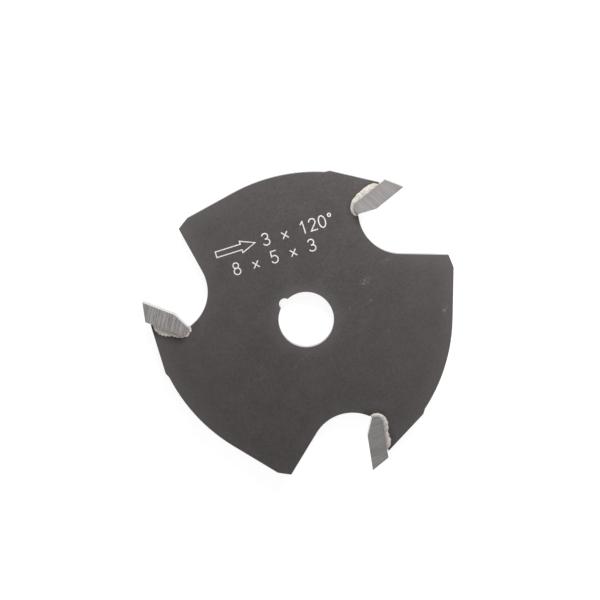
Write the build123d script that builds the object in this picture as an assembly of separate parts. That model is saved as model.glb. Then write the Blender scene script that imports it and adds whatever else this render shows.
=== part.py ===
"""A slotting cutter: a flat steel body with three hard-metal tips brazed into its shoulders.

It lies flat. Z runs along the bore, and the origin is in the bore at half the body's thickness.
Seen from +Z the cutter turns clockwise, so what lies behind a cutting point is counter-clockwise of it.
"""
import os
from math import asin, atan2, degrees, radians, tan

from build123d import *

# The cut and the arbor, in millimetres
cutting_diameter = 47.6
cutting_width = 5.0
bore_diameter = 8.0

# The body
body_thickness = 3.0
tooth_count = 3
first_tip_angle = 53.9
notch_radius = 0.82
notch_depth = 0.65
notch_angle = 144.0

# The hard-metal tips, measured along and behind the rake face
hook_angle = 15.0
flank_clearance = 15.0
tip_length = 7.6
tip_thickness = 2.5
tip_corner_radius = 0.9
knee_length = 2.6
knee_depth = 1.07
side_relief_inward = 1.2
side_relief_behind = 2.0

# The braze metal, with the width of each bead behind its tip and of all beads at the tips' inner ends
braze_gap = 0.15
bead_widths = (0.93, 0.8, 0.65)
bead_end_width = 0.52
bead_rise = 0.6
bead_hollow = 0.06

# The back of each tooth, from the tip's seat to the shoulder that limits the bite
seat_drop = 1.3
body_clearance = 15.0
clearance_land = 7.4
step_run = 0.7
step_drop = 0.35
shoulder_drop = 1.2
shoulder_land = 2.0
ramp_angle = 20.6
ramp_length = 7.5

# The gullet in front of each tip, with its angles and the depth of its start measured from the rake face
gullet_start_depth = 0.68
gullet_radius = 6.1
gullet_wall_angle = 32.0
gullet_opening = 40.0

cutting_radius = cutting_diameter / 2
bore_radius = bore_diameter / 2
shoulder_radius = cutting_radius - shoulder_drop
tooth_pitch = 360 / tooth_count
face_height = body_thickness / 2

# Each tooth is drawn with its cutting point on +X
cutting_point = Vector(cutting_radius, 0)
outward = Vector(1, 0).rotate(Axis.Z, -hook_angle)
behind = Vector(0, 1).rotate(Axis.Z, -hook_angle)


def tip_point(inward, depth):
    """A point by its distance along the rake face from the cutting point and its depth behind that face."""
    return cutting_point - outward * inward + behind * depth


def along(angle):
    """A unit step in the plane of the body."""
    return Vector(1, 0).rotate(Axis.Z, angle)


def angle_of(point):
    return degrees(atan2(point.Y, point.X))


def reach(start, direction, radius):
    """Where a straight from start meets the circle of this radius round the bore."""
    run = start.dot(direction)
    return start + direction * (-run + (run**2 - start.dot(start) + radius**2) ** 0.5)


# The toe is the inner end of the knee, and the gullet starts from the seat's end wall beside it
toe = tip_point(tip_length, knee_depth)
gullet_start = tip_point(tip_length + braze_gap, gullet_start_depth)


def back_corner(offset):
    """Where the tip's back and inner end would meet, both moved outwards by an offset."""
    return tip_point(tip_length + offset, tip_thickness + offset)


def bent(corners, radius):
    """Two straights with a rounded corner between them."""
    return FilletPolyline(*corners, radius=radius).edges()


def seat_rim():
    """Where the seat meets the rim, and the direction in which the rim falls away behind it."""
    rim = reach(back_corner(braze_gap), outward, cutting_radius - seat_drop)
    return rim, angle_of(rim) + 90 + body_clearance


def tip_profile():
    flank = tip_point(tip_thickness * tan(radians(hook_angle + flank_clearance)), tip_thickness)
    knee = tip_point(tip_length - knee_length, 0)
    front = Polyline(toe, knee, cutting_point, flank).edges()
    return make_face(bent((flank, back_corner(0), toe), tip_corner_radius) + front)


def seat_outline():
    """The pocket's wall: the seat from the rim, its rounded corner and the end wall to the gullet."""
    return bent((seat_rim()[0], back_corner(braze_gap), gullet_start), tip_corner_radius + braze_gap)


def braze_profile():
    """The thin layer that fills the pocket behind the tip, level with the rim at its outer end."""
    rim, fall = seat_rim()
    tip_rim = rim - along(fall) * (braze_gap / along(fall).dot(behind))
    inner = bent((tip_rim, back_corner(0), toe), tip_corner_radius)
    ends = [Line(tip_rim, rim).edge(), Line(toe, gullet_start).edge()]
    return make_face(seat_outline() + inner + ends)


def gullet():
    """The gullet's corners: its start, its deepest turn, the end of its round and its lip."""
    centre = gullet_start + along(-hook_angle - gullet_wall_angle) * gullet_radius
    floor_angle = -hook_angle - gullet_opening
    floor_start = centre + along(floor_angle - 90) * gullet_radius
    wall_middle = (gullet_start + floor_start) / 2 - centre
    root = centre + wall_middle.normalized() * gullet_radius
    lip = reach(floor_start, along(floor_angle), shoulder_radius)
    return gullet_start, root, floor_start, lip


def tooth_outline():
    """One tooth's share of the body's outline, from its own gullet wall to that of the next tooth."""
    rim, fall = seat_rim()
    land_end = rim + along(fall) * clearance_land
    back_start = land_end + along(fall) * step_run + along(fall + 90) * step_drop

    next_start, next_root, floor_start, lip = (p.rotate(Axis.Z, tooth_pitch) for p in gullet())
    land_turn = 2 * degrees(asin(shoulder_land / 2 / shoulder_radius))
    shoulder = lip.rotate(Axis.Z, -land_turn)
    shoulder_middle = lip.rotate(Axis.Z, -land_turn / 2)
    ramp = along(angle_of(shoulder) - 90 - ramp_angle)
    ramp_foot = shoulder + ramp * ramp_length

    back = [
        Line(rim, land_end),
        Line(land_end, back_start),
        TangentArc(ramp_foot, back_start, tangent=ramp),
        Line(ramp_foot, shoulder),
        ThreePointArc(shoulder, shoulder_middle, lip),
        Line(lip, floor_start),
        ThreePointArc(floor_start, next_root, next_start),
    ]
    return seat_outline() + [line.edge() for line in back]


def slab(profile):
    """A plate of the body's own thickness, half to each side of the middle plane."""
    return extrude(profile, face_height, both=True)


def turned(shape, tooth):
    """A shape drawn on +X, turned to its tooth."""
    return Rot(Z=first_tip_angle + tooth * tooth_pitch) * shape


def body_plate():
    teeth = [turned(edge, tooth) for tooth in range(tooth_count) for edge in tooth_outline()]
    return slab(make_face(teeth))


def bore():
    """The bore with the small half-round notch in its wall."""
    notch_place = along(notch_angle) * (bore_radius + notch_depth - notch_radius)
    notch = Pos(notch_place) * Circle(notch_radius)
    return slab(Circle(bore_radius) + notch)


def tip():
    """One tip, with both sides ground to fall away inwards and behind from the cutting point."""
    blank = extrude(tip_profile(), cutting_width / 2, both=True)
    fall = behind * tan(radians(side_relief_behind)) - outward * tan(radians(side_relief_inward))
    for side in (1, -1):
        rise = Vector(0, 0, side)
        ground = Plane(origin=cutting_point + rise * (cutting_width / 2), z_dir=fall + rise)
        blank = split(blank, bisect_by=ground, keep=Keep.BOTTOM)
    return blank


def bead_section(width):
    """The section of a hollow bead, with the tip's wall and the body's face as its two straight sides."""
    hollow = SagittaArc((width, 0), (0, -bead_rise), -bead_hollow)
    sides = Polyline((0, -bead_rise), (0, 0), (width, 0))
    return make_face([hollow.edge(), *sides.edges()])


def bead(width):
    """The upper bead: along the tip's back, narrowing round its corner, and down its inner end."""
    centre = back_corner(-tip_corner_radius) + Vector(0, 0, face_height)
    back_end = centre + behind * tip_corner_radius
    end_start = centre - outward * tip_corner_radius
    back_section = Plane(origin=back_end, x_dir=behind, z_dir=-outward) * bead_section(width)
    end_section = Plane(origin=end_start, x_dir=-outward, z_dir=-behind) * bead_section(bead_end_width)

    back = extrude(back_section, tip_length, dir=outward)
    turn = TangentArc(back_end, end_start, tangent=-outward)
    corner = sweep([back_section, end_section], path=turn, multisection=True)
    inner_end = extrude(end_section, (centre - toe).dot(behind), dir=-behind)

    rim, fall = seat_rim()
    rim_cut = Plane(rim, z_dir=along(fall - 90))
    return split(back + corner + inner_end, bisect_by=rim_cut, keep=Keep.BOTTOM)


def braze_joint(width):
    """The layer in the pocket with a bead on each face of the body."""
    upper = bead(width)
    return slab(braze_profile()) + upper + mirror(upper, about=Plane.XY)


def main():
    os.makedirs("parts", exist_ok=True)
    body = body_plate() - bore()
    export_step(body, "parts/cutter_body.step")
    for tooth in range(tooth_count):
        export_step(turned(tip(), tooth), f"parts/carbide_tip_{tooth + 1}.step")
        joint = turned(braze_joint(bead_widths[tooth]), tooth)
        export_step(joint, f"parts/braze_joint_{tooth + 1}.step")


if __name__ == "__main__":
    main()
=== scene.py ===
from math import cos, hypot, pi, radians, sin, sqrt

import bmesh
import bpy
from mathutils import Matrix, Vector, noise


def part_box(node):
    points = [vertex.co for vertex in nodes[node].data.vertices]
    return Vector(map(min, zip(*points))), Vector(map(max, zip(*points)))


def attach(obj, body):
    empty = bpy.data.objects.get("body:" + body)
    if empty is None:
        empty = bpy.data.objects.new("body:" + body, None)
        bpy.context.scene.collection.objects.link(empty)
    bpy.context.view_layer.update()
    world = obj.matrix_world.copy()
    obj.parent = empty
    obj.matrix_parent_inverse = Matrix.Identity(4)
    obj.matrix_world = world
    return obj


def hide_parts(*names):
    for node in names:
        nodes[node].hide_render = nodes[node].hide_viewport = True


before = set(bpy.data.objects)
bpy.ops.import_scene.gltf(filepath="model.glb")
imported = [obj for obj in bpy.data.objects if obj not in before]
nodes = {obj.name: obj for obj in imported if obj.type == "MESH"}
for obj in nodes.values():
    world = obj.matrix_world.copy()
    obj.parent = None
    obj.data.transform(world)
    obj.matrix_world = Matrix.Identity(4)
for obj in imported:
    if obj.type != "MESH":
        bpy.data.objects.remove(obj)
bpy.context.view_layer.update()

MM = 0.001

# How far the body's face and the tips' sides stand from the middle plane, in millimetres
face_height = round(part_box("cutter_body")[1][2] / MM, 3)
tip_height = round(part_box("carbide_tip_1")[1][2] / MM, 3)

# The teeth, in millimetres and degrees
cutting_radius = 23.8
teeth = (0, 1, 2)
first_tip_angle = 53.9
tooth_pitch = 120.0
hook_angle = 15.0

# A tip's back and inner end, measured along and behind its rake face
tip_length = 7.6
tip_thickness = 2.5
tip_corner_radius = 0.9
tip_corner_start = tip_length - tip_corner_radius
tip_corner_turn = radians(90)

# The braze joint's gap, its run down the tip's inner end, and where and how steeply the rim cuts it off
braze_gap = 0.15
bead_end_length = 0.68
rim_start = 2.66
rim_fall = 0.794

# Each tooth's bead: its width at even steps from the rim to the gullet, and its rise at both ends
bead_widths = (
    (0.70, 0.85, 0.92, 0.87, 0.88, 0.73, 0.52, 0.57, 0.52),
    (0.72, 0.95, 0.92, 0.81, 0.58, 0.47, 0.31, 0.42, 0.48),
    (0.55, 0.74, 0.62, 0.52, 0.67, 0.69, 0.48, 0.41, 0.38),
)
bead_rises = ((0.72, 0.27), (0.76, 0.72), (0.66, 0.60))

# How far each bead's foot swings in and out, how often it does, and how hollow its slope is
bead_scallops = (0.015, 0.07, 0.035)
bead_scallop_counts = (9, 10, 7)
bead_hollows = (0.09, 0.10, 0.09)

# On all beads, how far the rise wanders, how high and wide the lumps are, and the rise for full lumps
rise_swell = 0.09
lump_height = 0.06
lump_size = 0.6
lumpy_rise = 0.6

# A bead's rounded ends: over what share of its run, and what share of its size is left at the very end
rim_rounding = (0.05, 0.8)
gullet_rounding = (0.06, 0.4)

# How far a bead is let into the tip, the face and the pocket, and how far its foot spreads under the face
into_tip = 0.03
into_face = 0.03
into_pocket = 0.05
into_pocket_wall = 0.02
foot_spread = 0.01

# How each wander is drawn: its pace along the bead, and its shift for each tooth and face
ripple_pace = (17, 3.1, 2.3)
swell_pace = (9, 1.7, 4.7)
lump_shift = (7.3, 5.1)

# The lumps' noise: how fast finer lumps fade, how much finer each layer is, and how many layers there are
lump_layers = (0.9, 2.0, 2)

# How finely a bead is drawn: rings along it, and steps down its slope
bead_rings = 84
slope_steps = 9

# The etched marks on the upper face
marks_tilt = radians(17.5)
marks_height = 1.72
marks_pitch = 1.42
marks_stroke = 0.168
marks_proud = 0.012
marks_sink = 0.01
crossing_proud = 0.002
first_line_start = (-12.76, 8.55)
second_line_start = (-10.27, 6.39)

# The arrow's length, its head's length, half its shaft and head, its stroke, and the gap that follows it
arrow_length = 5.9
arrow_head_length = 2.1
arrow_half_shaft = 0.42
arrow_half_head = 0.86
arrow_stroke = marks_stroke * 0.9
arrow_gap = 1.1

# A stroke's ends reach this share of its width past its line, and its corners this many half widths out
stroke_reach = 0.4
mitre_limit = 2.2
same_place = 1e-6

# The camera, in metres, with its lens in millimetres
camera_lean = radians(4.0)
camera_distance = 0.9018
camera_aim = (-0.0009, 0.002735, 0)
camera_clip_start = 0.01
lens_length = 374
sensor_width = 36

# The floor's reach and the lamp, in metres and watts
floor_reach = 1.2
lamp_place = (0.0154, 0.0702, 0.055)
lamp_side = 0.08
lamp_power = 0.157

# The even light of the room, and how white the floor shows by itself
room_light = 0.27
floor_glow = 0.84
white = (1, 1, 1, 1)


# Meshes and where they lie


def tooth_angle(tooth):
    """The angle of the way along a tooth's rake face from the bore."""
    return radians(first_tip_angle + tooth * tooth_pitch - hook_angle)


def cutting_point(tooth):
    turn = radians(first_tip_angle + tooth * tooth_pitch)
    return Vector((cos(turn), sin(turn), 0)) * cutting_radius


def tooth_point(tooth, inward, depth, height):
    """A place by its distance along the rake face from the cutting point and its depth behind that face."""
    hook = tooth_angle(tooth)
    outward = Vector((cos(hook), sin(hook), 0))
    behind = Vector((-sin(hook), cos(hook), 0))
    return (cutting_point(tooth) - outward * inward + behind * depth + Vector((0, 0, height))) * MM


def new_piece(name, bm, material):
    mesh = bpy.data.meshes.new(name)
    bmesh.ops.recalc_face_normals(bm, faces=bm.faces)
    bm.to_mesh(mesh)
    bm.free()
    mesh.materials.append(material)
    piece = bpy.data.objects.new(name, mesh)
    bpy.context.scene.collection.objects.link(piece)
    return piece


def join_rings(bm, near, far, smooth=False):
    """Faces all the way round between two rings of points."""
    for i in range(len(near)):
        j = (i + 1) % len(near)
        bm.faces.new((near[i], near[j], far[j], far[i])).smooth = smooth


def between(values, share):
    """A smooth value between evenly spaced ones, at a share from 0 to 1 of the way."""
    last = len(values) - 1
    place = min(max(share, 0.0), 1.0) * last
    left = min(int(place), last - 1)
    step = place - left
    ease = step * step * (3 - 2 * step)
    return values[left] * (1 - ease) + values[left + 1] * ease


# Braze beads


def bead_spot(share, distance):
    """A spot beside the tip: its place along and behind the rake face, by its distance from the tip."""
    rim = rim_start + (distance - braze_gap) * rim_fall
    corner_length = tip_corner_radius * tip_corner_turn
    back_length = tip_corner_start - rim_start
    run = share * (back_length + corner_length + bead_end_length)
    if run < back_length:
        inward = rim + run / back_length * (tip_corner_start - rim)
        return inward, tip_thickness + distance
    turn = min((run - back_length) / tip_corner_radius, tip_corner_turn)
    down = max(run - back_length - corner_length, 0.0)
    reach = tip_corner_radius + distance
    centre_depth = tip_thickness - tip_corner_radius
    inward = tip_corner_start + reach * sin(turn) + down * cos(turn)
    return inward, centre_depth + reach * cos(turn) - down * sin(turn)


def end_rounding(share):
    """What share of its width and rise a bead has grown to near its ends."""
    grown = 1.0
    for run, (length, least) in ((share, rim_rounding), (1 - share, gullet_rounding)):
        part = run / length
        if part < 1:
            grown *= least + (1 - least) * sqrt(1 - (1 - part) ** 2)
    return grown


def bead_wander(pace, tooth, side, share):
    """Smooth noise along a bead, different for each tooth and face."""
    along, per_tooth, per_side = pace
    return noise.noise(Vector((share * along, tooth * per_tooth, side * per_side)))


def bead_size(tooth, side, share):
    """A bead's width and rise at a share of its run, with its scallops and its swell."""
    ripple = bead_wander(ripple_pace, tooth, side, share)
    wave = abs(sin(share * pi * bead_scallop_counts[tooth] + side + ripple)) * 2 - 1
    scallop = bead_scallops[tooth] * (wave + ripple)
    swell = rise_swell * bead_wander(swell_pace, tooth, side, share)
    grown = end_rounding(share)
    width = (between(bead_widths[tooth], share) + scallop) * grown
    rise = (between(bead_rises[tooth], share) + swell) * grown
    return width, rise


def bead_half(tooth, side, share):
    """Half a ring round a braze joint: from the tip's wall down the bead's slope and into the pocket."""
    width, rise = bead_size(tooth, side, share)
    slope = hypot(width, rise)
    per_tooth, per_side = lump_shift
    shift = Vector((tooth * per_tooth, side * per_side, 0))
    half = [(-into_tip, face_height + rise)]
    for step in range(slope_steps + 1):
        part = step / slope_steps
        distance, height = width * part, rise * (1 - part)
        spot = Vector((*bead_spot(share, distance), height)) / lump_size + shift
        lump = lump_height * noise.fractal(spot, *lump_layers)
        out = (lump - bead_hollows[tooth]) * sin(pi * part) * min(rise / lumpy_rise, 1.0)
        distance += out * rise / slope
        height += out * width / slope
        half.append((distance, face_height + height))
    half.append((width + foot_spread, face_height - into_face))
    half.append((braze_gap + into_pocket_wall, face_height - into_pocket))
    return half


def bead_ring(tooth, share):
    """A ring round a braze joint: one face's bead, the layer in the pocket and the other face's bead."""
    upper, lower = bead_half(tooth, 1, share), bead_half(tooth, -1, share)
    ring = upper + [(distance, -height) for distance, height in reversed(lower)]
    return [tooth_point(tooth, *bead_spot(share, distance), height) for distance, height in ring]


def braze_bead(tooth, material):
    """A braze joint as it flowed: a lumpy bead on each face, joined by the layer in the pocket."""
    bm = bmesh.new()
    rings = []
    for count in range(bead_rings + 1):
        rings.append([bm.verts.new(spot) for spot in bead_ring(tooth, count / bead_rings)])
    for near, far in zip(rings, rings[1:]):
        join_rings(bm, near, far, smooth=True)
    for end in (rings[0], rings[-1]):
        bm.faces.new(end)
    piece = new_piece(f"braze_bead_{tooth + 1}", bm, material)
    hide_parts(f"braze_joint_{tooth + 1}")
    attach(piece, "root")


# Etched marks


def bow(x, y, across, up, start, end, steps=18):
    """Points of a round stroke, from a start angle to an end angle in degrees."""
    angles = [radians(start + (end - start) * i / steps) for i in range(steps + 1)]
    return [(x + across * cos(a), y + up * sin(a)) for a in angles]


def loop(x, y, across, up):
    return bow(x, y, across, up, 90, 450, 26)


def numeral_strokes():
    """Each sign's strokes, in shares of its height."""
    return {
        "0": [loop(0.30, 0.50, 0.28, 0.50)],
        "1": [[(0.12, 0.80), (0.34, 1.0), (0.34, 0.0)]],
        "2": [bow(0.30, 0.73, 0.27, 0.27, 165, -38) + [(0.03, 0.0), (0.58, 0.0)]],
        "3": [bow(0.29, 0.76, 0.25, 0.24, 155, -95), bow(0.29, 0.26, 0.29, 0.26, 95, -155)],
        "5": [[(0.54, 1.0), (0.12, 1.0), (0.08, 0.56)] + bow(0.28, 0.31, 0.29, 0.31, 120, -150)],
        "8": [loop(0.30, 0.77, 0.23, 0.23), loop(0.30, 0.27, 0.28, 0.27)],
        "x": [[(0.08, 0.10), (0.52, 0.60)], [(0.08, 0.60), (0.52, 0.10)]],
        "o": [loop(0.20, 0.86, 0.13, 0.13)],
    }


def arrow_outline():
    """An outlined arrow that shows which way the cutter turns."""
    shoulder = arrow_length - arrow_head_length
    upper = [(0, arrow_half_shaft), (shoulder, arrow_half_shaft), (shoulder, arrow_half_head)]
    lower = [(x, -y) for x, y in reversed(upper)]
    return [(x, y + arrow_half_head) for x, y in [*upper, (arrow_length, 0), *lower, upper[0]]]


def add_stroke(bm, points, width, proud):
    """A thin flat ribbon along a line on the face, a hair above it and a hair into it."""
    line = [Vector(point) for point in points]
    closed = (line[0] - line[-1]).length < same_place
    if closed:
        line.pop()
    ways = [(after - spot).normalized() for spot, after in zip(line, line[1:] + line[:1])]
    if not closed:
        ways[-1] = ways[-2]
        line[0] = line[0] - ways[0] * width * stroke_reach
        line[-1] = line[-1] + ways[-1] * width * stroke_reach
    ways_in = [ways[-1] if closed else ways[0], *ways[:-1]]
    low, high = face_height - marks_sink, face_height + proud

    rows = []
    for spot, way_in, way_out in zip(line, ways_in, ways):
        across_in = Vector((-way_in.y, way_in.x))
        across = (across_in + Vector((-way_out.y, way_out.x))).normalized()
        mitre = 1 / max(across.dot(across_in), 1 / mitre_limit)
        edge = across * width / 2 * mitre
        left, right = spot + edge, spot - edge
        corners = ((left, high), (right, high), (right, low), (left, low))
        rows.append([bm.verts.new(Vector((*place, height)) * MM) for place, height in corners])
    pairs = list(zip(rows, rows[1:]))
    if closed:
        pairs.append((rows[-1], rows[0]))
    for near, far in pairs:
        join_rings(bm, near, far)
    if not closed:
        bm.faces.new(rows[0])
        bm.faces.new(rows[-1])


def etched_marks(material):
    """The arrow for the way it turns, the count and spacing of its teeth, and its bore and widths."""
    bm = bmesh.new()
    strokes = numeral_strokes()
    turn = Matrix.Rotation(marks_tilt, 2)

    def put(points, start, shift, size, width, proud):
        placed = [Vector(start) + turn @ Vector((x * size + shift, y * size)) for x, y in points]
        add_stroke(bm, placed, width, proud)

    def write(signs, start, shift):
        for place, sign in enumerate(signs):
            for count, points in enumerate(strokes.get(sign, ())):
                proud = marks_proud + count * crossing_proud
                put(points, start, shift + place * marks_pitch, marks_height, marks_stroke, proud)

    put(arrow_outline(), first_line_start, 0, 1, arrow_stroke, marks_proud)
    write("3 x 120o", first_line_start, arrow_length + arrow_gap)
    write("8 x 5 x 3", second_line_start, 0)
    piece = new_piece("etched_marks", bm, material)
    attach(piece, "root")


# Small makers of shader nodes


def join(tree, value, socket):
    """Sets a socket to a plain value, or links it to another node's socket."""
    if isinstance(value, bpy.types.NodeSocket):
        tree.links.new(value, socket)
    else:
        socket.default_value = value


def put_node(tree, kind, settings=None, **inputs):
    """Adds a shader node. Each input is a plain value or another node's socket."""
    node = tree.nodes.new("ShaderNode" + kind)
    for name, value in (settings or {}).items():
        setattr(node, name, value)
    for name, value in inputs.items():
        join(tree, value, node.inputs[name.replace("_", " ")])
    return node


def sum_up(tree, operation, first, second=0.0):
    """The result of a sum of one or two values."""
    node = put_node(tree, "Math", {"operation": operation})
    join(tree, first, node.inputs[0])
    join(tree, second, node.inputs[1])
    return node.outputs[0]


def sum_vectors(tree, operation, first, second):
    node = put_node(tree, "VectorMath", {"operation": operation})
    join(tree, first, node.inputs[0])
    join(tree, second, node.inputs[1])
    return node.outputs["Vector"]


def length_of(tree, vector):
    return put_node(tree, "VectorMath", {"operation": "LENGTH"}, Vector=vector).outputs["Value"]


def scaled(tree, value, factor):
    return sum_up(tree, "MULTIPLY", value, factor)


def add_values(tree, values):
    total = values[0]
    for value in values[1:]:
        total = sum_up(tree, "ADD", total, value)
    return total


def largest(tree, values):
    total = values[0]
    for value in values[1:]:
        total = sum_up(tree, "MAXIMUM", total, value)
    return total


def ramp_value(tree, value, low, high, to_low=0.0, to_high=1.0):
    """A soft step of a value from one level to another."""
    node = put_node(tree, "MapRange", {"interpolation_type": "SMOOTHSTEP"}, Value=value)
    for name, level in (("From Min", low), ("From Max", high), ("To Min", to_low), ("To Max", to_high)):
        join(tree, level, node.inputs[name])
    return node.outputs["Result"]


def mix_values(tree, share, first, second):
    node = put_node(tree, "Mix", {"data_type": "FLOAT"})
    for value, place in ((share, 0), (first, 2), (second, 3)):
        join(tree, value, node.inputs[place])
    return node.outputs[0]


def blend_colour(tree, share, first, second):
    node = put_node(tree, "Mix", {"data_type": "RGBA"})
    for value, place in ((share, 0), (first, 6), (second, 7)):
        join(tree, value, node.inputs[place])
    return node.outputs[2]


def object_millimetres(tree):
    """Where the surface is, in millimetres, in the part's own frame."""
    place = put_node(tree, "TexCoord").outputs["Object"]
    node = put_node(tree, "VectorMath", {"operation": "SCALE"}, Vector=place)
    node.inputs["Scale"].default_value = 1 / MM
    return node.outputs[0]


def turned_back(tree, place, angle):
    """A place turned back by an angle round the bore's axis."""
    node = put_node(tree, "VectorRotate", {"rotation_type": "Z_AXIS"}, Vector=place)
    join(tree, scaled(tree, angle, -1.0), node.inputs["Angle"])
    return node.outputs[0]


# Shader groups that several finishes share

# How many times finer the second layer of the mottle and of the grinding lines is
mottle_fineness = 6.5
line_fineness = 3.7

# The smallest speck for its chosen size, and how much of a speck lies within its soft edge
smallest_speck = 0.35
speck_core = 0.25

# How fast the distance off a tip grows ahead of its rake face
ahead_growth = 2.0


def start_group(name, inputs, outputs):
    """A shader group: its inputs have a name, a kind and a first value, its outputs a name and a kind."""
    group = bpy.data.node_groups.new(name, "ShaderNodeTree")
    for label, kind, value in inputs:
        socket = group.interface.new_socket(label, in_out="INPUT", socket_type="NodeSocket" + kind)
        socket.default_value = value
    for label, kind in outputs:
        group.interface.new_socket(label, in_out="OUTPUT", socket_type="NodeSocket" + kind)
    start = group.nodes.new("NodeGroupInput")
    end = group.nodes.new("NodeGroupOutput")
    return group, start.outputs, end.inputs


def mottle_group():
    """Cloudy change of tone, with a finer change laid over it."""
    group, given, result = start_group(
        "mottle",
        [("Size", "Float", 1.0), ("Fine Share", "Float", 0.4)],
        [("Tone", "Float")],
    )
    place = object_millimetres(group)
    scale = sum_up(group, "DIVIDE", 1.0, given["Size"])
    broad = put_node(group, "TexNoise", Vector=place, Scale=scale, Detail=3.0, Roughness=0.55)
    fine_scale = scaled(group, scale, mottle_fineness)
    fine = put_node(group, "TexNoise", Vector=place, Scale=fine_scale, Detail=2.0, Roughness=0.6)
    mixed = mix_values(group, given["Fine Share"], broad.outputs["Fac"], fine.outputs["Fac"])
    join(group, mixed, result["Tone"])
    return group


def grind_lines_group():
    """Fine parallel lines, as a grinding wheel or a cutting beam leaves, turned round the bore's axis."""
    group, given, result = start_group(
        "grind_lines",
        [
            ("Angle", "Float", 0.0),
            ("Spacing", "Float", 0.3),
            ("Length", "Vector", (1.0, 12.0, 12.0)),
        ],
        [("Lines", "Float")],
    )
    turned = turned_back(group, object_millimetres(group), given["Angle"])
    drawn = sum_vectors(group, "DIVIDE", turned, given["Length"])
    scale = sum_up(group, "DIVIDE", 1.0, given["Spacing"])
    coarse = put_node(group, "TexNoise", Vector=drawn, Scale=scale, Detail=2.0, Roughness=0.6)
    fine_scale = scaled(group, scale, line_fineness)
    fine = put_node(group, "TexNoise", Vector=drawn, Scale=fine_scale, Detail=1.0)
    both = sum_up(group, "ADD", coarse.outputs["Fac"], fine.outputs["Fac"])
    join(group, scaled(group, both, 0.5), result["Lines"])
    return group


def specks_group():
    """Small scattered specks or pits, in a chosen share of the cells that they are scattered over."""
    group, given, result = start_group(
        "specks",
        [("Spacing", "Float", 1.0), ("Size", "Float", 0.2), ("Share", "Float", 0.3)],
        [("Specks", "Float")],
    )
    scale = sum_up(group, "DIVIDE", 1.0, given["Spacing"])
    cells = put_node(group, "TexVoronoi", Vector=object_millimetres(group), Scale=scale)
    luck = put_node(group, "SeparateColor", Color=cells.outputs["Color"])
    chosen = sum_up(group, "LESS_THAN", luck.outputs[0], given["Share"])
    growth = sum_up(group, "ADD", luck.outputs[1], smallest_speck)
    edge = sum_up(group, "MULTIPLY", given["Size"], growth)
    inside = ramp_value(group, cells.outputs["Distance"], edge, scaled(group, edge, speck_core))
    join(group, sum_up(group, "MULTIPLY", chosen, inside), result["Specks"])
    return group


def off_tip_group():
    """How far a spot is outside one tip's back and inner end, in millimetres, or below 0 within the tip."""
    group, given, result = start_group(
        "off_tip",
        [
            ("Angle", "Float", 0.0),
            ("Point", "Vector", (0.0, 0.0, 0.0)),
            ("Wander", "Float", 0.9),
        ],
        [("Distance", "Float")],
    )
    place = object_millimetres(group)
    moved = sum_vectors(group, "SUBTRACT", place, given["Point"])
    spot = put_node(group, "SeparateXYZ", Vector=turned_back(group, moved, given["Angle"]))
    inward, depth = scaled(group, spot.outputs["X"], -1.0), spot.outputs["Y"]
    squares = []
    for reach, corner in ((inward, tip_corner_start), (depth, tip_thickness - tip_corner_radius)):
        past = sum_up(group, "MAXIMUM", sum_up(group, "SUBTRACT", reach, corner), 0.0)
        squares.append(sum_up(group, "POWER", past, 2.0))
    from_corner = sum_up(group, "SQRT", add_values(group, squares))
    away = sum_up(group, "SUBTRACT", from_corner, tip_corner_radius)
    ahead = scaled(group, sum_up(group, "MINIMUM", depth, 0.0), -ahead_growth)
    uneven = put_node(group, "TexNoise", Vector=place, Scale=1.6, Detail=2.0)
    middled = sum_up(group, "SUBTRACT", uneven.outputs["Fac"], 0.5)
    sway = sum_up(group, "MULTIPLY", middled, given["Wander"])
    join(group, add_values(group, [away, ahead, sway]), result["Distance"])
    return group


def scuff_group():
    """One small rubbed place, broken up by grain, at a chosen spot."""
    group, given, result = start_group(
        "scuff",
        [
            ("Place", "Vector", (0.0, 0.0, 0.0)),
            ("Angle", "Float", 0.0),
            ("Size", "Vector", (1.0, 1.0, 1.0)),
        ],
        [("Rub", "Float")],
    )
    place = object_millimetres(group)
    moved = sum_vectors(group, "SUBTRACT", place, given["Place"])
    sized = sum_vectors(group, "DIVIDE", turned_back(group, moved, given["Angle"]), given["Size"])
    soft = ramp_value(group, length_of(group, sized), 1.0, 0.1)
    grain = put_node(group, "TexNoise", Vector=place, Scale=3.4, Detail=3.0, Roughness=0.7)
    broken = ramp_value(group, grain.outputs["Fac"], 0.45, 0.68)
    join(group, sum_up(group, "MULTIPLY", soft, broken), result["Rub"])
    return group


mottle = mottle_group()
grind_lines = grind_lines_group()
specks = specks_group()
off_tip = off_tip_group()
scuff = scuff_group()


def use_group(tree, group, **inputs):
    node = tree.nodes.new("ShaderNodeGroup")
    node.node_tree = group
    for name, value in inputs.items():
        join(tree, value, node.inputs[name.replace("_", " ")])
    return node.outputs[0]


def off_this_tip(tree, tooth, wander):
    return use_group(tree, off_tip, Angle=tooth_angle(tooth), Point=cutting_point(tooth), Wander=wander)


# What all finishes start from

# How upright a flat side faces at the least, and the part of a noise's range that roughness follows
flat_facing = 0.93
noise_range = (0.3, 0.7)


def empty_material(name):
    material = bpy.data.materials.new(name)
    material.use_nodes = True
    material.node_tree.nodes.clear()
    return material, material.node_tree


def start_finish(name):
    material, tree = empty_material(name)
    surface = put_node(tree, "BsdfPrincipled")
    put_node(tree, "OutputMaterial", Surface=surface.outputs[0])
    return material, tree, surface


def add_bump(tree, surface, height, distance, strength):
    """Fine relief on a surface, with the distance that it stands out in metres."""
    bump = put_node(tree, "Bump", Height=height, Distance=distance, Strength=strength)
    tree.links.new(bump.outputs[0], surface.inputs["Normal"])


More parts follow.
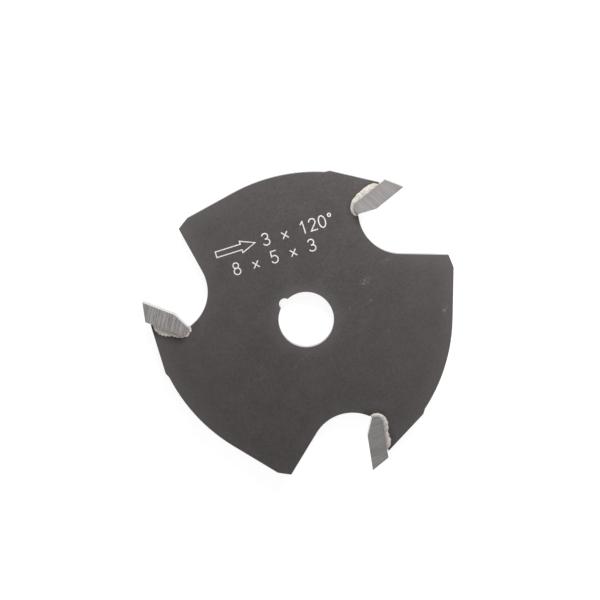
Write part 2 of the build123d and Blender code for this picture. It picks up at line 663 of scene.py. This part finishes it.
def wall_mask(tree, wall_facing):
    """1 on the walls, where the surface turns away from the bore's axis, and 0 on the flat sides."""
    facing = put_node(tree, "NewGeometry").outputs["Normal"]
    upright = sum_up(tree, "ABSOLUTE", put_node(tree, "SeparateXYZ", Vector=facing).outputs["Z"])
    return ramp_value(tree, upright, flat_facing, wall_facing)


def tinted(colour, level):
    """A colour at a lower or higher level."""
    return (*[part * level for part in colour], 1)


# The body's blackened steel

# The blackened faces: their dark and light mottling, their tone towards both sides, which is painted light
# from the sides, and their specks
blackened_dark = (0.052, 0.0472, 0.0461, 1)
blackened_light = (0.0760, 0.0695, 0.0680, 1)
painted_side_light = (0.105, 0.096, 0.094, 1)
blackened_specks = (0.20, 0.19, 0.18, 1)

# The share of fine grain in the mottling, its soft step from dark to light, and how strong the specks are
grain_share = 0.65
mottle_step = (0.34, 0.66)
speck_strength = 0.35

# The same faces where they are worn by their edges, with painted light making that wear stronger towards
# both sides; rubbed; and stained beside the braze
worn_and_side_lit_steel = (0.16, 0.15, 0.148, 1)
rubbed_steel = (0.30, 0.285, 0.28, 1)
stained_steel = (0.045, 0.033, 0.029, 1)

# The bare walls, in and between the lines that the cutting beam left
wall_dark = (0.44, 0.43, 0.42, 1)
wall_light = (0.68, 0.67, 0.65, 1)
body_wall_facing = 0.45

# How rough the faces and the walls are, how much the faces shine, and how high and strong the relief is
face_roughness = (0.52, 0.66)
wall_roughness = (0.18, 0.30)
face_shine = 0.1
body_relief = (0.012 * MM, 0.6)
speck_relief = 0.6
cut_line_relief = 2.0

# Soft steps across the faces, in millimetres: from where, to where, and from and to what strength
# The lift to the sides is painted light, and so is the growth of the edge wear towards the sides
painted_light_to_sides = (4.0, 22.0, 0.0, 0.2)
wear_and_painted_light_to_sides = (6.0, 21.0, 0.17, 0.42)
wear_to_bore = (7.0, 5.0, 0.0, 0.5)
unworn_by_tips = (2.0, 0.9)
edge_wear_width = 2.9

# How wide the stain beside each bead fades, how strong each is, and how far its edge wanders
stain_fade = 0.55
stain_strengths = (0.4, 0.0, 0.5)
stain_wander = 0.9

# Rubbed places on the upper face, in millimetres: where, which way, how long and wide, and how strong
rubbed_places = (
    ((8.5, 5.5), 35, (1.5, 0.9), 0.34),
    ((9.4, 2.8), 60, (0.7, 0.35), 0.22),
    ((6.3, 1.66), 0, (0.3, 0.3), 0.6),
    ((11.9, -1.5), 0, (0.3, 0.3), 0.4),
    ((20.0, 1.5), 70, (1.0, 0.6), 0.45),
    ((11.5, 8.6), 20, (1.6, 0.5), 0.2),
    ((-0.6, -5.9), 45, (2.6, 0.25), 0.2),
)
rub_thickness = 0.5


def edge_wear_and_side_light(tree, sideways, off_centre, off_tips):
    """Wear on the faces near their edges, stronger round the bore and none by the tips; its growth towards
    both sides is painted light.
    """
    covered = put_node(tree, "AmbientOcclusion", {"inside": True, "only_local": True, "samples": 16})
    covered.inputs["Distance"].default_value = edge_wear_width * MM
    near_edge = sum_up(tree, "SUBTRACT", 1.0, covered.outputs["AO"])
    beside_tips = largest(tree, [ramp_value(tree, away, *unworn_by_tips) for away in off_tips])
    worn = sum_up(tree, "MULTIPLY", near_edge, sum_up(tree, "SUBTRACT", 1.0, beside_tips))
    # Painted light: the worn edges grow lighter towards both sides, as if lit from there
    side_light_share = ramp_value(tree, sideways, *wear_and_painted_light_to_sides)
    to_bore = ramp_value(tree, off_centre, *wear_to_bore)
    return sum_up(tree, "MULTIPLY", worn, largest(tree, [side_light_share, to_bore]))


def rubbed_spots(tree):
    """The rubbed places, each at its own strength."""
    rubs = []
    for place, angle, size, strength in rubbed_places:
        middle, extent = (*place, face_height), (*size, rub_thickness)
        rub = use_group(tree, scuff, Place=middle, Angle=radians(angle), Size=extent)
        rubs.append(scaled(tree, rub, strength))
    return largest(tree, rubs)


def braze_stains(tree, off_tips):
    """The stain that the brazing heat left on the body along each bead."""
    stains = []
    for tooth, away in zip(teeth, off_tips):
        reach = sum(bead_widths[tooth]) / len(bead_widths[tooth])
        stains.append(ramp_value(tree, away, reach + stain_fade, reach, 0.0, stain_strengths[tooth]))
    return largest(tree, stains)


def blackened_steel():
    """The body: matt blackened faces, and bare cut steel on its edges and walls."""
    material, tree, surface = start_finish("blackened_steel_body")
    cloud = use_group(tree, mottle, Size=2.6, Fine_Share=0.35)
    grain = use_group(tree, mottle, Size=0.34, Fine_Share=0.4)
    light_specks = use_group(tree, specks, Spacing=0.85, Size=0.09, Share=0.30)
    spot = object_millimetres(tree)
    sideways = sum_up(tree, "ABSOLUTE", put_node(tree, "SeparateXYZ", Vector=spot).outputs["X"])
    off_centre = length_of(tree, spot)
    off_tips = [off_this_tip(tree, tooth, stain_wander) for tooth in teeth]

    tone = ramp_value(tree, mix_values(tree, grain_share, cloud, grain), *mottle_step)
    face = blend_colour(tree, tone, blackened_dark, blackened_light)
    # Painted light: the faces are lighter towards both sides, as if lit from there
    face = blend_colour(tree, ramp_value(tree, sideways, *painted_light_to_sides), face, painted_side_light)
    face = blend_colour(tree, scaled(tree, light_specks, speck_strength), face, blackened_specks)
    face = blend_colour(tree, edge_wear_and_side_light(tree, sideways, off_centre, off_tips), face, worn_and_side_lit_steel)
    face = blend_colour(tree, rubbed_spots(tree), face, rubbed_steel)
    face = blend_colour(tree, braze_stains(tree, off_tips), face, stained_steel)

    cut_lines = use_group(tree, grind_lines, Spacing=0.16, Length=(1.0, 1.0, 30.0))
    wall = blend_colour(tree, cut_lines, wall_dark, wall_light)
    on_wall = wall_mask(tree, body_wall_facing)
    join(tree, blend_colour(tree, on_wall, face, wall), surface.inputs["Base Color"])
    join(tree, on_wall, surface.inputs["Metallic"])
    surface.inputs["Specular IOR Level"].default_value = face_shine

    face_rough = ramp_value(tree, grain, *noise_range, *face_roughness)
    wall_rough = ramp_value(tree, cut_lines, *noise_range, *wall_roughness)
    join(tree, mix_values(tree, on_wall, face_rough, wall_rough), surface.inputs["Roughness"])

    face_relief = add_values(tree, [grain, scaled(tree, light_specks, speck_relief)])
    relief = mix_values(tree, on_wall, face_relief, scaled(tree, cut_lines, cut_line_relief))
    add_bump(tree, surface, relief, *body_relief)
    return material


# The tips' ground carbide

# Each tip's tone on its ground sides, whose differences between the tips are painted sheen; how strong its
# lines are, partly as painted glint; and how far apart and how slanted they are
tip_tones_with_painted_sheen = (0.364, 0.275, 0.216)
tip_line_strengths_with_painted_glint = (0.17, 0.42, 0.16)
line_spacings = (0.26, 0.13, 0.24)
line_slants = (11.0, 11.0, 14.0)

# The tips' grey, its tint in cloudy patches, and its tint by the back, where the brazing heated it
carbide_grey = (1.0, 0.955, 0.942)
patch_grey = (1.0, 0.96, 0.98)
heated_grey = (1.0, 0.90, 0.84)

# What share of a tip's tone its patches, its heated edge and its nicks keep
patch_level = 0.8
heated_level = 0.88
nick_level = 0.5

# Soft steps over a tip: its lines, its patches, and its heated edge in millimetres off the tip's outline
line_step = (0.36, 0.64)
patch_step = (0.45, 0.75, 0.0, 0.25)
heated_step = (-0.55, 0.05, 0.0, 0.5)
heated_wander = 0.6
nick_strength = 0.5

# The finely ground faces round a tip's edge: their two levels, and from what facing they start
fine_levels = (0.55, 0.66)
tip_edge_facing = 0.6

# How rough the ground sides and the fine faces are, and how high and strong the relief is
ground_roughness = (0.30, 0.44)
fine_roughness = 0.16
tip_relief = (0.008 * MM, 0.7)
nick_relief = -0.5
fine_line_relief = 0.25


def ground_carbide(tooth):
    """A ground hard-metal tip: grinding lines across its sides, and finer ground faces round its edge."""
    material, tree, surface = start_finish(f"ground_carbide_{tooth + 1}")
    angle = tooth_angle(tooth) + radians(line_slants[tooth])
    spacing = line_spacings[tooth]
    lines = use_group(tree, grind_lines, Angle=angle, Spacing=spacing, Length=(1.0, 28.0, 28.0))
    cloud = use_group(tree, mottle, Size=1.4, Fine_Share=0.3)
    nicks = use_group(tree, specks, Spacing=0.6, Size=0.08, Share=0.22)
    # The tips differ in tone and line strength partly as painted sheen and glint, for how the light catches
    # each tip's grinding
    tone, contrast = tip_tones_with_painted_sheen[tooth], tip_line_strengths_with_painted_glint[tooth]

    dark, light = [tinted(carbide_grey, tone * (1 + change)) for change in (-contrast, contrast)]
    ground = blend_colour(tree, ramp_value(tree, lines, *line_step), dark, light)
    patches = ramp_value(tree, cloud, *patch_step)
    ground = blend_colour(tree, patches, ground, tinted(patch_grey, tone * patch_level))
    heated = ramp_value(tree, off_this_tip(tree, tooth, heated_wander), *heated_step)
    ground = blend_colour(tree, heated, ground, tinted(heated_grey, tone * heated_level))
    nicked = tinted(carbide_grey, tone * nick_level)
    ground = blend_colour(tree, scaled(tree, nicks, nick_strength), ground, nicked)

    on_edge = wall_mask(tree, tip_edge_facing)
    fine = blend_colour(tree, lines, *[tinted(carbide_grey, level) for level in fine_levels])
    join(tree, blend_colour(tree, on_edge, ground, fine), surface.inputs["Base Color"])
    surface.inputs["Metallic"].default_value = 1.0
    ground_rough = ramp_value(tree, lines, *noise_range, *ground_roughness)
    join(tree, mix_values(tree, on_edge, ground_rough, fine_roughness), surface.inputs["Roughness"])

    ground_relief = add_values(tree, [lines, scaled(tree, nicks, nick_relief)])
    relief = mix_values(tree, on_edge, ground_relief, scaled(tree, lines, fine_line_relief))
    add_bump(tree, surface, relief, *tip_relief)
    return material


# The beads' silver braze

# How bright each bead is, with the differences between the beads partly painted light; how strong its
# painted highlight on the outer rim is, how strong its painted shade by its tip is, and its warm tint
braze_tones_with_painted_light = (0.455, 0.62, 0.50)
braze_painted_highlights = (0.25, 0.95, 0.25)
braze_painted_shade_by_tip = (0.5, 0.3, 0.5)
warm_tints = ((1.0, 0.925, 0.83), (1.0, 0.912, 0.85), (1.0, 0.90, 0.86))
clean_braze = (1.0, 0.96, 0.905)
flux_stain = (0.36, 0.29, 0.25)

# The outer rim's painted highlight level, and how its patches and the painted shade beside the tip stand to
# the bead's tone
rim_highlight_level = 0.8
warm_level = 0.92
pale_level = 1.3
dull_level = 0.6
tip_side_shade_level = 0.5

# Soft steps over a bead: its warmth, the painted highlight on its outer rim by height, its patches, and the
# painted shade on its side by the tip
warm_step = (0.35, 0.65)
rim_highlight_step = (0.52, 0.40)
rim_highlight_unevenness = 0.5
pale_step = (0.50, 0.58, 0.0, 0.7)
dull_step = (0.47, 0.39, 0.0, 0.75)
tip_side_shade_step = (0.24, 0.04)
tip_side_shade_wander = 0.2
pit_strength = 0.7

# How metallic and rough the braze is, and how high and strong its relief is
braze_metallic = 0.35
braze_roughness = (0.6, 0.75)
braze_relief = (0.03 * MM, 0.8)
pit_relief = -0.8


def braze_metal(tooth):
    """Silver braze: pale and lumpy, warm in places, with small dark pits, a painted highlight on its outer
    rim and painted shade beside its tip.
    """
    material, tree, surface = start_finish(f"silver_braze_{tooth + 1}")
    # Each bead's tone differs from the others partly as painted light, for how much light reaches it
    tone, warm_braze = braze_tones_with_painted_light[tooth], warm_tints[tooth]
    cloud = use_group(tree, mottle, Size=0.7, Fine_Share=0.4)
    grain = use_group(tree, mottle, Size=0.26, Fine_Share=0.3)
    pits = use_group(tree, specks, Spacing=0.30, Size=0.10, Share=0.45)

    warmth = ramp_value(tree, cloud, *warm_step)
    clean, warm = tinted(clean_braze, tone), tinted(warm_braze, tone * warm_level)
    colour = blend_colour(tree, warmth, clean, warm)
    height = put_node(tree, "SeparateXYZ", Vector=object_millimetres(tree)).outputs["Z"]
    over_face = sum_up(tree, "SUBTRACT", sum_up(tree, "ABSOLUTE", height), face_height)
    uneven = sum_up(tree, "ADD", over_face, scaled(tree, cloud, rim_highlight_unevenness))
    # Painted highlight: the bead's low outer rim is lighter, as where it faces the light
    rim = ramp_value(tree, uneven, *rim_highlight_step, 0.0, braze_painted_highlights[tooth])
    colour = blend_colour(tree, rim, colour, tinted(warm_braze, rim_highlight_level))
    pale = ramp_value(tree, grain, *pale_step)
    colour = blend_colour(tree, pale, colour, tinted(clean_braze, tone * pale_level))
    dull = ramp_value(tree, grain, *dull_step)
    colour = blend_colour(tree, dull, colour, tinted(warm_braze, tone * dull_level))
    # Painted shade: the bead is darker beside its tip, where the tip shades it
    away = off_this_tip(tree, tooth, tip_side_shade_wander)
    tip_side_shade = ramp_value(tree, away, *tip_side_shade_step, 0.0, braze_painted_shade_by_tip[tooth])
    colour = blend_colour(tree, tip_side_shade, colour, tinted(warm_braze, tone * tip_side_shade_level))
    colour = blend_colour(tree, scaled(tree, pits, pit_strength), colour, tinted(flux_stain, tone))
    join(tree, colour, surface.inputs["Base Color"])

    surface.inputs["Metallic"].default_value = braze_metallic
    join(tree, ramp_value(tree, cloud, *noise_range, *braze_roughness), surface.inputs["Roughness"])
    relief = add_values(tree, [cloud, scaled(tree, pits, pit_relief)])
    add_bump(tree, surface, relief, *braze_relief)
    return material


# The etched marks' pale metal

etched_dark = (0.42, 0.408, 0.40, 1)
etched_light = (0.78, 0.76, 0.745, 1)
etched_step = (0.35, 0.65)
etched_roughness = (0.6, 0.8)
etched_relief = (0.01 * MM, 0.5)


def etched_metal():
    """The etched marks: pale, dry and a little broken up."""
    material, tree, surface = start_finish("etched_metal")
    grain = use_group(tree, mottle, Size=0.25, Fine_Share=0.5)
    colour = blend_colour(tree, ramp_value(tree, grain, *etched_step), etched_dark, etched_light)
    join(tree, colour, surface.inputs["Base Color"])
    join(tree, ramp_value(tree, grain, *noise_range, *etched_roughness), surface.inputs["Roughness"])
    add_bump(tree, surface, grain, *etched_relief)
    return material


# The solids that stay: their finish and their softened edges

# The softened edges' widths and the gap that still joins two faces, in millimetres
body_edge_width = 0.05
tip_edge_width = 0.03
weld_distance = 0.001
sharp_angle = radians(28)


def finish_node(name, material, edge_width):
    """Gives a solid its finish, joins its loose faces and rounds its sharp edges by a hair."""
    node = nodes[name]
    for slot in node.material_slots:
        slot.material = material
    weld = node.modifiers.new("joined_faces", "WELD")
    weld.merge_threshold = weld_distance * MM
    bevel = node.modifiers.new("soft_edges", "BEVEL")
    bevel.width = edge_width * MM
    bevel.segments = 2
    bevel.limit_method = "ANGLE"
    bevel.angle_limit = sharp_angle
    bevel.harden_normals = True


# The floor, the light and the camera

# The floor's mottled grey under the light, and its grey there as the cutter's metal mirrors it
floor_dark = (0.50, 0.50, 0.50, 1)
floor_light = (0.54, 0.54, 0.54, 1)
floor_in_metal = (0.10, 0.10, 0.10, 1)


def seen_rays(tree, path):
    """1 for what the camera sees, straight or in a reflection, and 0 for what only lights the cutter."""
    return largest(tree, [path[f"Is {kind} Ray"] for kind in ("Camera", "Glossy", "Transmission")])


def floor_finish():
    """Pale and matt: it shows as white, keeps the cutter's soft shadow and isn't a glare in the metal."""
    material, tree = empty_material("pale_floor")
    path = put_node(tree, "LightPath").outputs
    grain = use_group(tree, mottle, Size=30.0, Fine_Share=0.3)
    pale = blend_colour(tree, grain, floor_dark, floor_light)
    shown = blend_colour(tree, path["Is Glossy Ray"], pale, floor_in_metal)
    matt = put_node(tree, "BsdfDiffuse", Color=shown)
    strength = scaled(tree, seen_rays(tree, path), floor_glow)
    glow = put_node(tree, "Emission", Color=white, Strength=strength)
    both = put_node(tree, "AddShader")
    for shader, socket in zip((matt, glow), both.inputs):
        join(tree, shader.outputs[0], socket)
    put_node(tree, "OutputMaterial", Surface=both.outputs[0])
    return material


def pale_floor():
    bm = bmesh.new()
    bmesh.ops.create_grid(bm, x_segments=4, y_segments=4, size=floor_reach)
    bmesh.ops.translate(bm, verts=bm.verts, vec=(0, 0, -tip_height * MM))
    new_piece("floor", bm, floor_finish())


def soft_world():
    """White behind all that the camera or a reflection sees, and a soft even light on the cutter."""
    world = bpy.data.worlds.new("studio")
    world.use_nodes = True
    tree = world.node_tree
    tree.nodes.clear()
    seen = seen_rays(tree, put_node(tree, "LightPath").outputs)
    strength = ramp_value(tree, seen, 0.0, 1.0, room_light, 1.0)
    back = put_node(tree, "Background", Color=white, Strength=strength)
    put_node(tree, "OutputWorld", Surface=back.outputs[0])
    bpy.context.scene.world = world


def key_lamp():
    """A soft square lamp that lights the cutter but leaves no glare of itself on the ground metal."""
    lamp = bpy.data.lights.new("key_lamp", "AREA")
    lamp.shape = "RECTANGLE"
    lamp.size = lamp.size_y = lamp_side
    lamp.energy = lamp_power
    made = bpy.data.objects.new("key_lamp", lamp)
    aim = (-Vector(lamp_place)).to_track_quat("-Z", "Y").to_matrix().to_4x4()
    made.matrix_world = Matrix.Translation(lamp_place) @ aim
    made.visible_glossy = False
    bpy.context.scene.collection.objects.link(made)


def photo_camera():
    """Almost straight above, leaning a little towards the top of the picture, through a long lens."""
    away = Vector((0, sin(camera_lean), cos(camera_lean)))
    up = Vector((0, cos(camera_lean), -sin(camera_lean)))
    camera = bpy.data.cameras.new("photo_camera")
    camera.lens = lens_length
    camera.sensor_width = sensor_width
    camera.clip_start = camera_clip_start
    made = bpy.data.objects.new("photo_camera", camera)
    turn = Matrix((Vector((1, 0, 0)), up, away)).transposed().to_4x4()
    made.matrix_world = Matrix.Translation(Vector(camera_aim) + away * camera_distance) @ turn
    bpy.context.scene.collection.objects.link(made)
    bpy.context.scene.camera = made


def build():
    finish_node("cutter_body", blackened_steel(), body_edge_width)
    for tooth in teeth:
        finish_node(f"carbide_tip_{tooth + 1}", ground_carbide(tooth), tip_edge_width)
        braze_bead(tooth, braze_metal(tooth))
    etched_marks(etched_metal())
    pale_floor()
    soft_world()
    key_lamp()
    photo_camera()
    bpy.context.scene.view_settings.view_transform = "Standard"


build()
